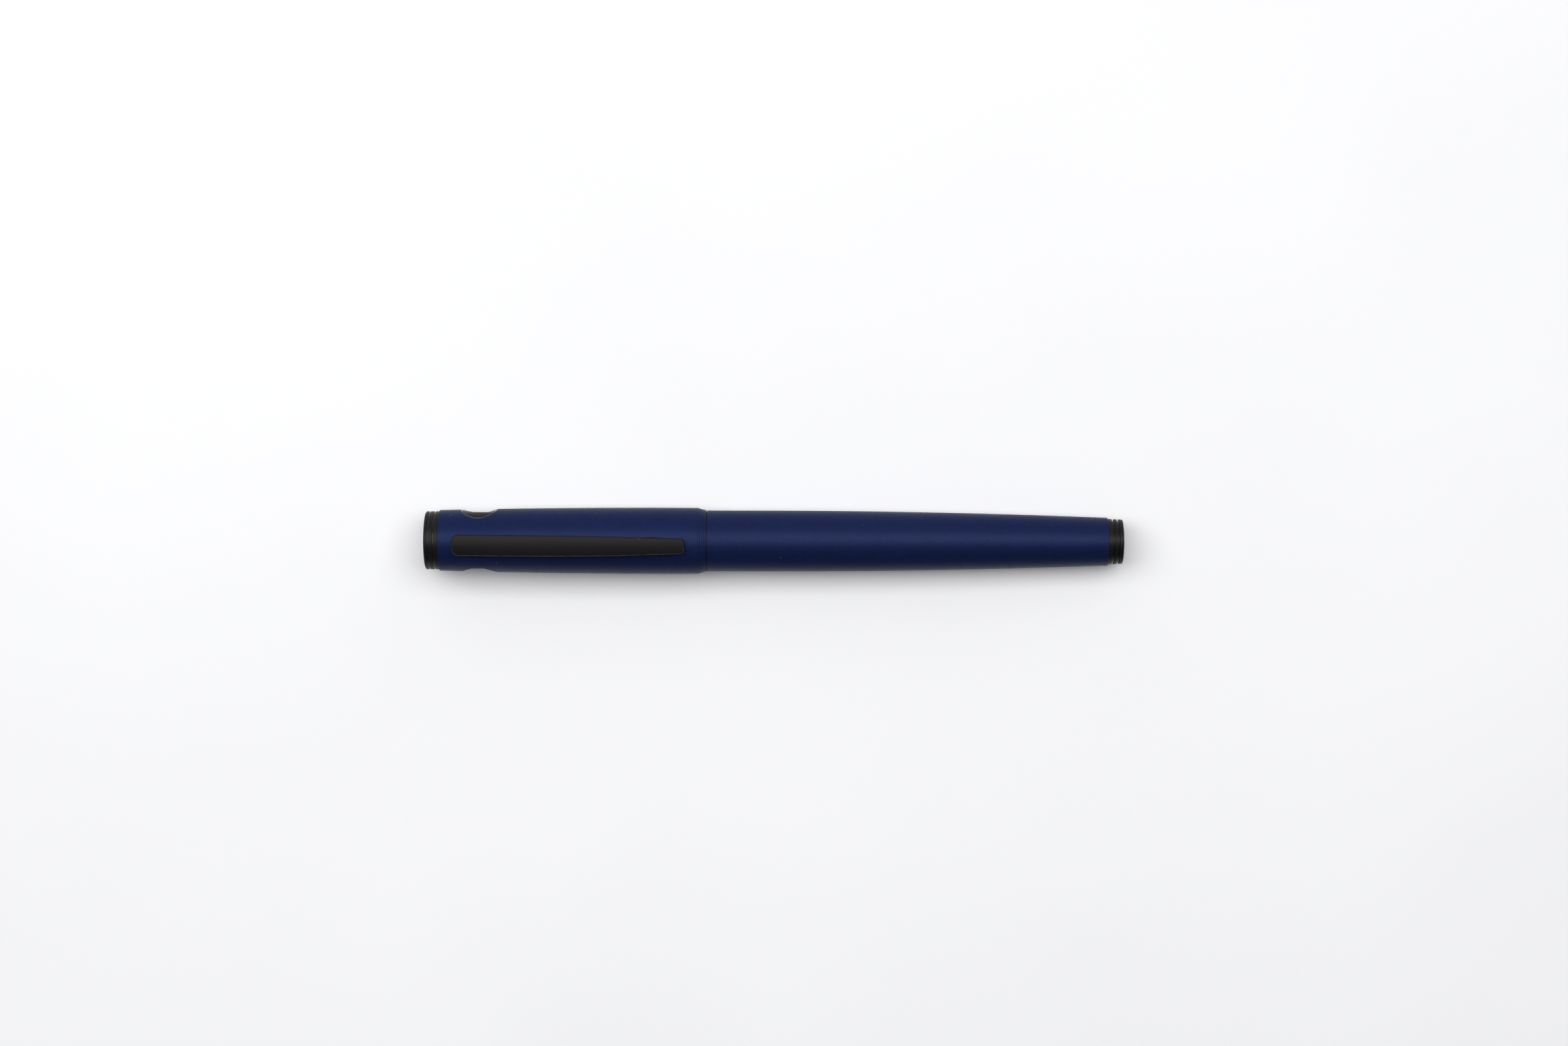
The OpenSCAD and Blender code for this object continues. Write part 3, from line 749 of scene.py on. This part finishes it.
def build_barrel():
    """The barrel, its threaded brass bush, and the tail plug with its seal."""
    made("barrel", 0.07, 192)
    lo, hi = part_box("barrel_bush")
    bore = 4.9 * MM
    threaded("barrel_bush", 0.06, 144, lo.x, hi.x, bore, bore + 0.16 * MM, BARREL_PITCH)
    grooves_low, floor_r = high("barrel").x + 0.5 * MM, 4.11 * MM
    made("tail_plug", 0.05, 192, wear_and_sheen=in_grooves(grooves_low, high("tail_plug").x, floor_r, 0.15))
    made("tail_o_ring", 0, 96)


# ---- the cap

HOLE_X, HOLE_R = -45.4 * MM, 3.55 * MM
# The window that the clip's tongue goes through: its middle, and half its length and width
WINDOW_X, WINDOW_LEN, WINDOW_W = -46.35 * MM, 2.1 * MM, 1.3 * MM


def sector_point(x, along, across, direction):
    """A point at a distance along a direction from the axis and across it, towards a growing angle."""
    sine, cosine = math.sin(direction), math.cos(direction)
    return (x, along * sine + across * cosine, along * cosine - across * sine)


def circle_curve(centre_x, radius, count):
    """A circle as (x, across, outward normal), with its points matched to a square's sides."""
    out = []
    for i in range(count):
        turn = math.radians(225) - 2 * math.pi * i / count
        nx, na = math.cos(turn), math.sin(turn)
        out.append((centre_x + radius * nx, radius * na, nx, na))
    return out


def slot_curve(centre_x, half_len, half_w, corner, count):
    """A rounded rectangle as (x, across, outward normal), with its points matched to a square's sides."""
    out = []
    side = count // 4
    for i in range(count):
        s = 2 * (i % side) / side - 1
        u, v = ((-1, s), (s, 1), (1, -s), (-s, -1))[i // side]
        normal = ((-1, 0), (0, 1), (1, 0), (0, -1))[i // side]
        point = Vector((u * half_len, v * half_w))
        core = Vector((max(-1, min(1, u * half_len / (half_len - corner))) * (half_len - corner),
                       max(-1, min(1, v * half_w / (half_w - corner))) * (half_w - corner)))
        away = point - core
        if abs(away.x) > 1e-9 and abs(away.y) > 1e-9:
            away.normalize()
        else:
            away = Vector(normal)
        point = core + away * corner
        out.append((centre_x + point.x, point.y, away.x, away.y))
    return out


class CapShell:
    """The cap shell's mesh: turned, with openings in it for the cross hole and for the clip's window.

    Each opening has a frame of quarter by quarter grid cells that the turned faces leave free. Rings of
    faces lead from the opening's curve to the frame, so a curve has 4 * quarter points."""

    columns, quarter = 192, 48
    half = quarter // 2
    bevel, inner_bevel = 0.16 * MM, 0.05 * MM
    zone_len = 9.6 * MM

    def __init__(self):
        (points, closed), = outlines("cap_shell")
        self.bore = min(r for x, r in points)
        self.skin = np.array([p for p in points if p[1] > self.bore + 1e-6 and p[0] < -1.8 * MM])
        self.verts, self.faces, self.rows = [], [], {}
        self.lay_rings(self.profile(rounded(points, closed, 0.045 * MM)))

    def radius_at(self, x, side="outer"):
        """Radius of the shell's outer or inner skin at a station."""
        return float(np.interp(x, self.skin[:, 0], self.skin[:, 1])) if side == "outer" else self.bore

    def profile(self, points):
        """The outline as (x, radius, side, number), with even, numbered stations in the frames' zone."""
        start = HOLE_X - self.zone_len / 2
        zone = [start + self.zone_len * j / self.quarter for j in range(self.quarter + 1)]
        out, done = [], False
        for x, r in points:
            if r > self.bore + 0.2 * MM and zone[0] - 0.3 * MM < x < zone[-1] + 0.3 * MM:
                if not done:
                    out.extend((z, self.radius_at(z), "outer", j) for j, z in enumerate(zone))
                    done = True
                continue
            out.append((x, r, "", 0))
        out.extend((z, self.bore, "inner", j) for j, z in reversed(list(enumerate(zone))))
        return out

    def lay_rings(self, profile):
        """Turns the outline, and leaves out the faces where the openings' frames are."""
        columns, half = self.columns, self.half
        for i, (x, r, side, j) in enumerate(profile):
            if side:
                self.rows[(side, j)] = i
            for k in range(columns):
                angle = 2 * math.pi * k / columns
                self.verts.append((x, r * math.sin(angle), r * math.cos(angle)))
        opened = {(k + self.quarter * side) % columns for side in (0, 1, 3) for k in range(-half, half)}
        for i in range(len(profile)):
            n = (i + 1) % len(profile)
            in_zone = profile[i][2] and profile[i][2] == profile[n][2]
            for k in range(columns):
                if not (in_zone and k in opened):
                    m = (k + 1) % columns
                    self.faces.append((i * columns + k, i * columns + m, n * columns + m, n * columns + k))

    def frame_loop(self, side, middle):
        """Vertex numbers round an opening's frame, from its corner at low x and low angle."""
        half, quarter = self.half, self.quarter
        spots = [(0, k) for k in range(-half, half)]
        spots += [(j, half) for j in range(quarter)]
        spots += [(quarter, k) for k in range(half, -half, -1)]
        spots += [(j, -half) for j in range(quarter, 0, -1)]
        return [self.rows[(side, j)] * self.columns + (middle + k) % self.columns for j, k in spots]

    def ring(self, curve, middle, side, reach, depth):
        """A ring round an opening, at a reach outside its curve and a depth from the skin."""
        direction = 2 * math.pi * middle / self.columns
        out = []
        for x, across, nx, na in curve:
            px, pa = x + nx * reach, across + na * reach
            along = math.sqrt(self.radius_at(px, side) ** 2 - pa ** 2) + depth
            out.append(len(self.verts))
            self.verts.append(sector_point(px, along, pa, direction))
        return out

    def spread(self, curve, middle, side, share):
        """A ring on the skin, part of the way from an opening's rounded edge to its frame."""
        direction = 2 * math.pi * middle / self.columns
        reach = self.bevel if side == "outer" else self.inner_bevel
        out = []
        for (x, across, nx, na), spot in zip(curve, self.frame_loop(side, middle)):
            px, pa = x + nx * reach, across + na * reach
            turn = math.asin(pa / self.radius_at(px, side))
            far = self.verts[spot]
            far_turn = math.atan2(far[1], far[2]) - direction
            far_turn = (far_turn + math.pi) % (2 * math.pi) - math.pi
            qx = px + (far[0] - px) * share
            angle = direction + turn + (far_turn - turn) * share
            r = self.radius_at(qx, side)
            out.append(len(self.verts))
            self.verts.append((qx, r * math.sin(angle), r * math.cos(angle)))
        return out

    def add_opening(self, middle, curve):
        """An opening with rounded edges, centred on a column."""
        chain = [self.frame_loop("outer", middle)]
        chain += [self.spread(curve, middle, "outer", t) for t in (0.75, 0.5, 0.3, 0.15, 0.05)]
        chain += [self.ring(curve, middle, "outer", out, -down)
                  for out, down in quarter_round(self.bevel, 4)]
        chain += [self.ring(curve, middle, "inner", out, up)
                  for out, up in reversed(quarter_round(self.inner_bevel, 3))]
        chain += [self.spread(curve, middle, "inner", t) for t in (0.05, 0.3, 0.6)]
        self.faces += bridged(chain + [self.frame_loop("inner", middle)])

    def rim_wear_and_sheen(self, place):
        """Full on the walls and the chamfers of the two openings of the cross hole, nothing elsewhere."""
        reach = math.hypot(place.x - HOLE_X, place.z)
        depth = self.radius_at(place.x) - math.hypot(place.y, place.z)
        beside = abs(place.y) > abs(place.z) and reach < HOLE_R + self.bevel - 1e-6
        return 1.0 if beside and depth < 0.6 * MM else 0.0


def build_cap_shell():
    """The cap shell, with the cross hole through it and the clip's window in its top."""
    shell = CapShell()
    hole = circle_curve(HOLE_X, HOLE_R, shell.columns)
    shell.add_opening(shell.quarter, hole)
    shell.add_opening(3 * shell.quarter, hole)
    shell.add_opening(0, slot_curve(WINDOW_X, WINDOW_LEN, WINDOW_W, 0.25 * MM, shell.columns))
    obj = new_object("cap_shell_made", shell.verts, shell.faces)
    set_wear_and_sheen(obj, shell.rim_wear_and_sheen)
    dress(smooth_by_angle(obj), "cap_shell")


def build_cap_insides():
    """What the cap shell holds: liner, finial, screw, pin, seal cup with its spring and stop ring."""
    window = slot_cutter(WINDOW_X - WINDOW_LEN, WINDOW_X + WINDOW_LEN, WINDOW_W, 3.3 * MM, 7 * MM, 0.2 * MM)
    made("inner_cap", 0.07, 144, cut=window)
    lo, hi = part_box("cap_finial")
    grooves_low, floor_r = lo.x + 0.5 * MM, hi.z - 0.2 * MM
    made("cap_finial", 0.06, 192, wear_and_sheen=in_grooves(grooves_low, low("cap_shell").x, floor_r, 0.4))
    made("seal_stop_ring", 0.06)
    made("seal_cup", 0.12)
    made("cap_seal", 0.08)
    build_finial_screw()
    build_clip_pin()
    build_seal_spring()


def build_finial_screw():
    """A cheese-head screw with a driver slot."""
    lo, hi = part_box("finial_screw")
    shank, head, head_len = 1.45 * MM, hi.z, 1.49 * MM
    points = [(lo.x, 0), (lo.x, shank - 0.15 * MM), (lo.x + 0.15 * MM, shank), (hi.x - head_len, shank),
              (hi.x - head_len, head), (hi.x, head), (hi.x, 0)]
    crest_low, crest_high = lo.x + 0.2 * MM, hi.x - head_len - 0.3 * MM
    points = spaced(points, crest_low, crest_high, shank, 0.05 * MM)
    thread = thread_shape(crest_low, crest_high, shank, shank - 0.16 * MM, 0.5 * MM)
    obj = lathe("finial_screw_made", [(rounded(points, False, 0.15 * MM), False)], 72, thread)
    slot_floor = hi.x - 0.6 * MM
    boolean(obj, slot_cutter(slot_floor, hi.x + 1 * MM, 2 * head, -0.25 * MM, 0.25 * MM, 0.03 * MM))
    dress(smooth_by_angle(obj), "finial_screw")


def across_pen(obj, middle):
    """Turns a piece that was made about X to lie along Y, and moves it to a middle."""
    obj.data.transform(Matrix.Translation(middle) @ Matrix.Rotation(math.pi / 2, 4, "Z"))
    return obj


def build_clip_pin():
    """The clip's hinge pin, with chamfered ends."""
    lo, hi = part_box("clip_pin")
    half, r = hi.y, (hi.x - lo.x) / 2
    points = rounded([(-half, 0), (-half, r), (half, r), (half, 0)], False, 0.12 * MM)
    dress(across_pen(lathe("clip_pin_made", [(points, False)], 48), (lo + hi) / 2), "clip_pin")


def build_seal_spring():
    """A coil spring with closed ends."""
    lo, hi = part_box("seal_spring")
    wire = 0.2 * MM
    coil_r = hi.z - wire
    turns, per_turn, closed_turns = 6.5, 40, 0.8
    length = hi.x - lo.x - 2 * wire
    path = []
    for k in range(int(turns * per_turn) + 1):
        done = k / per_turn
        active = min(max(done - closed_turns, 0), turns - 2 * closed_turns) / (turns - 2 * closed_turns)
        ends = (min(done, closed_turns) + max(done - turns + closed_turns, 0)) * 2.05 * wire
        x = lo.x + wire + ends + active * (length - 2 * closed_turns * 2.05 * wire)
        angle = 2 * math.pi * done
        path.append((x, coil_r * math.sin(angle), coil_r * math.cos(angle)))
    obj = dress(sweep("seal_spring_made", path, wire, 12), "seal_spring")
    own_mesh(obj)


def cap_radius(x):
    """Outer radius of the cap shell at a station."""
    skin = sorted(p for p in outlines("cap_shell")[0][0] if p[1] > 5.8 * MM)
    return float(np.interp(x, [p[0] for p in skin], [p[1] for p in skin]))


class ClipStrip:
    """The clip's strip: crowned about the pen's axis and arched along it, with a contact bump below.

    Its surface is a grid, with a row for each station of its sides and columns across it."""

    thick, bevel, under_bevel = 0.7 * MM, 0.13 * MM, 0.06 * MM
    crown_x, arc_r = -21 * MM, 376 * MM
    narrowing, narrow_x = 0.625 * MM, -40 * MM
    root_corner, tip_corner = 1.2 * MM, 0.5 * MM
    bump_x, bump_r = -10.6 * MM, 3.35 * MM
    columns = 16

    def __init__(self):
        self.lo, self.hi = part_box("clip")
        self.bump_low = cap_radius(self.bump_x) + 0.015 * MM
        self.sides = self.side_stations()
        self.last = len(self.sides) - 1
        self.verts, self.faces = [], []

    def top_r(self, x):
        """Radius of the crowned top."""
        return self.hi.z - (x - self.crown_x) ** 2 / (2 * self.arc_r)

    def under_r(self, x):
        """Radius of the underside: the strip's, or the bump's where that is lower, with a soft root."""
        strip = self.top_r(x) - self.thick
        reach = self.bump_r ** 2 - (x - self.bump_x) ** 2
        if reach <= 0:
            return strip
        bump = self.bump_low + self.bump_r - math.sqrt(reach)
        soft = 0.12 * MM
        share = min(1.0, max(0.0, 0.5 + (bump - strip) / (2 * soft)))
        return bump + (strip - bump) * share - soft * share * (1 - share)

    def side_w(self, x):
        """Half the width, before the corners are rounded."""
        share = (x - self.narrow_x) / (self.hi.x - self.narrow_x)
        return self.hi.y - self.narrowing * max(0.0, share) ** 2.2

    def side_stations(self):
        """The side as (x, half width, outward normal), from the root's corner to the tip's."""
        out = []
        for k in range(13):
            a = math.radians(90 * k / 12)
            x = self.lo.x + self.root_corner * (1 - math.cos(a))
            w = self.side_w(self.lo.x) - self.root_corner * (1 - math.sin(a))
            out.append((x, w, -math.cos(a), math.sin(a)))
        start, end = self.lo.x + self.root_corner, self.hi.x - self.tip_corner
        count = 120
        for k in range(1, count):
            x = start + (end - start) * k / count
            slope = (self.side_w(x + 1e-6) - self.side_w(x - 1e-6)) / 2e-6
            long = math.hypot(1, slope)
            out.append((x, self.side_w(x), -slope / long, 1 / long))
        for k in range(11):
            a = math.radians(90 * k / 10)
            w = self.side_w(end) - self.tip_corner * (1 - math.cos(a))
            out.append((end + self.tip_corner * math.sin(a), w, math.sin(a), math.cos(a)))
        return out

    def edge_point(self, i, c, inset):
        """Plan place of a point on the strip's rim, pulled in along its outward normal."""
        x, w, nx, ny = self.sides[i]
        v = 2 * c / self.columns - 1
        if c in (0, self.columns):
            return x - nx * inset, w * v - ny * v * inset
        return (x + inset if i == 0 else x - inset), w * v

    def plan(self, i, c, inset):
        """Plan place of any point of the grid, with the rim pulled in."""
        if i in (0, self.last) or c in (0, self.columns):
            return self.edge_point(i, c, inset)
        ax, ay = self.edge_point(i, 0, inset)
        bx, by = self.edge_point(i, self.columns, inset)
        return ax + (bx - ax) * c / self.columns, ay + (by - ay) * c / self.columns

    def add_point(self, x, y, radius, lift=0.0):
        """Adds a vertex over a plan place, at a radius from the pen's axis, and returns its number."""
        self.verts.append((x, y, math.sqrt(radius(x) ** 2 - y ** 2) + lift))
        return len(self.verts) - 1

    def add_skin(self, inset, radius):
        """Adds the top or the underside, and returns its rim."""
        grid = [[self.add_point(*self.plan(i, c, inset), radius) for c in range(self.columns + 1)]
                for i in range(self.last + 1)]
        for low_row, high_row in zip(grid, grid[1:]):
            for c in range(self.columns):
                self.faces.append((low_row[c], low_row[c + 1], high_row[c + 1], high_row[c]))
        return [grid[i][c] for i, c in self.rim()]

    def rim(self):
        """The (row, column) of every point round the strip's edge."""
        spots = [(0, c) for c in range(self.columns)]
        spots += [(i, self.columns) for i in range(self.last)]
        spots += [(self.last, c) for c in range(self.columns, 0, -1)]
        return spots + [(i, 0) for i in range(self.last, 0, -1)]

    def rim_ring(self, inset, radius, lift):
        """A ring of vertices round the strip's edge."""
        return [self.add_point(*self.edge_point(i, c, inset), radius, lift) for i, c in self.rim()]

    def build(self):
        """Makes the closed mesh: top, underside, and the rounded edges between them."""
        top, under = self.add_skin(self.bevel, self.top_r), self.add_skin(self.under_bevel, self.under_r)
        chain = [top]
        chain += [self.rim_ring(out, self.top_r, -down) for out, down in quarter_round(self.bevel, 4)[1:]]
        chain += [self.rim_ring(out, self.under_r, up)
                  for out, up in reversed(quarter_round(self.under_bevel, 2)[1:])]
        self.faces += bridged(chain + [under])
        return new_object("clip_made", self.verts, self.faces)

    def rim_wear_and_sheen(self, place):
        """Strength of the painted highlight: full on the bevel of the -Y edge, less at the ends, nothing on
        the +Y edge or elsewhere.
        """
        depth = self.top_r(place.x) - math.hypot(place.y, place.z)
        on_bevel = 1e-6 < depth < self.bevel + 1e-6
        return min(1.0, max(0.0, 0.35 - place.y / self.side_w(place.x))) if on_bevel else 0.0


def build_clip():
    """The clip: its strip, and the tongue that the pin goes through."""
    strip = ClipStrip()
    obj = strip.build()
    tongue_low, tongue_high, tongue_w = -48.2 * MM, -44.4 * MM, 1.2 * MM
    tongue_top = strip.under_r(tongue_low) + 0.3 * MM
    tongue = slot_cutter(tongue_low, tongue_high, tongue_w, strip.lo.z, tongue_top, 0.15 * MM)
    boolean(obj, tongue, "UNION")
    pin_lo, pin_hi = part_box("clip_pin")
    bore_r, half = (pin_hi.x - pin_lo.x) / 2 + 0.03 * MM, 3 * MM
    bore = lathe("bore", [([(-half, 0), (-half, bore_r), (half, bore_r), (half, 0)], False)], 48)
    boolean(obj, across_pen(bore, (pin_lo + pin_hi) / 2))
    # Paints a highlight on the bevel of the -Y edge, through the amount that the coatings also read as
    # wear.
    set_wear_and_sheen(obj, strip.rim_wear_and_sheen)
    dress(smooth_by_angle(obj), "clip")


# ---- floor, lights and camera

# The camera looks down on the pen at LOOK_ANGLE about X from straight up, towards +Y. It is turned about
# its own axis by ROLL, and aims at a point FRAME_SHIFT up the frame from the pen's axis.
LOOK_ANGLE = math.radians(8.5)
ROLL = math.radians(0.12)
CAMERA_X = 15.3 * MM
CAMERA_DISTANCE = 0.633
FRAME_SHIFT = 3.6 * MM


def build_floor():
    """A pale plane that touches the widest places of cap and barrel, on either side of the balance."""
    shells = [points for node in ("cap_shell", "barrel") for points, closed in outlines(node)]
    skin = sorted(p for points in shells for p in points)
    balance_x = 12 * MM
    left = [p for p in skin if p[0] < balance_x]
    right = [p for p in skin if p[0] >= balance_x]
    rests = [(a, b) for a in left for b in right
             if all(p[1] <= a[1] + (b[1] - a[1]) * (p[0] - a[0]) / (b[0] - a[0]) + 1e-9 for p in skin)]
    (ax, ar), (bx, br) = rests[0]
    slope = (br - ar) / (bx - ax)
    half_side = 4.0
    signs = ((-1, -1), (1, -1), (1, 1), (-1, 1))
    corners = [(u * half_side, v * half_side, -(ar + slope * (u * half_side - ax))) for u, v in signs]
    mesh = bpy.data.meshes.new("floor")
    mesh.from_pydata(corners, [], [(0, 1, 2, 3)])
    floor = bpy.data.objects.new("floor", mesh)
    bpy.context.scene.collection.objects.link(floor)
    mesh.materials.append(floor_finish())


def above(x, angle, distance):
    """A place at a distance from the pen's axis, at an angle about X from straight up towards +Y."""
    return Vector((x, distance * math.sin(angle), distance * math.cos(angle)))


def facing(back, side):
    """The rotation of a lamp or camera whose back points one way and whose right is nearest to side."""
    back = back.normalized()
    side = (side - back * side.dot(back)).normalized()
    return Matrix((side, back.cross(side), back)).transposed()


def build_softbox():
    """A broad rectangular light that faces the pen, with its long side along the pen."""
    data = bpy.data.lights.new("top_softbox", "AREA")
    data.shape = "RECTANGLE"
    data.size, data.size_y = 1.7, 0.62
    data.energy = 13.8
    lamp = bpy.data.objects.new("top_softbox", data)
    middle = (CAD_BOX[0].x + CAD_BOX[1].x) / 2
    lamp.location = above(middle - 0.12, math.radians(19), 0.95)
    back = lamp.location - Vector((middle, 0, 0))
    lamp.rotation_euler = facing(back, Vector((1, 0, 0))).to_euler()
    lamp.visible_camera = False
    bpy.context.scene.collection.objects.link(lamp)


def build_room():
    """Soft light from all round, weaker on -Y. The camera itself sees an even pale backdrop instead."""
    g = Graph("room", "worlds")
    ray = g.node("ShaderNodeTexCoord").outputs["Generated"]
    toward = g.vector_math("DOT_PRODUCT", ray, (0, math.cos(LOOK_ANGLE), -math.sin(LOOK_ANGLE)))[1]
    level = g.ramp(toward, 0.0, 0.75, 0.066, 0.78)
    choice = g.node("ShaderNodeMixShader")
    g.feed(choice, "0", g.node("ShaderNodeLightPath").outputs["Is Camera Ray"])
    for socket, strength in (("1", level), ("2", 0.80)):
        g.feed(choice, socket, g.node("ShaderNodeBackground", Color=DAYLIGHT, Strength=strength).outputs[0])
    output = g.node("ShaderNodeOutputWorld")
    g.tree.links.new(choice.outputs[0], output.inputs[0])
    bpy.context.scene.world = g.owner


def build_camera():
    """The photograph's view: looking down on the pen from over 0.6 m away."""
    data = bpy.data.cameras.new("camera")
    data.sensor_width = 36.0
    data.lens = 72.8
    data.clip_start, data.clip_end = 0.01, 20.0
    camera = bpy.data.objects.new("camera", data)
    place = above(CAMERA_X, LOOK_ANGLE, CAMERA_DISTANCE)
    up = Vector((0, math.cos(LOOK_ANGLE), -math.sin(LOOK_ANGLE)))
    back = (place - Vector((CAMERA_X, 0, 0)) - up * FRAME_SHIFT).normalized()
    turn = Matrix.Rotation(ROLL, 3, back) @ facing(back, Vector((1, 0, 0)))
    camera.matrix_world = Matrix.Translation(place) @ turn.to_4x4()
    bpy.context.scene.collection.objects.link(camera)
    bpy.context.scene.camera = camera


build_grip()
build_point()
build_reservoir()
build_barrel()
build_cap_shell()
build_cap_insides()
build_clip()
build_floor()
build_softbox()
build_room()
build_camera()
bpy.context.scene.view_settings.view_transform = "Standard"
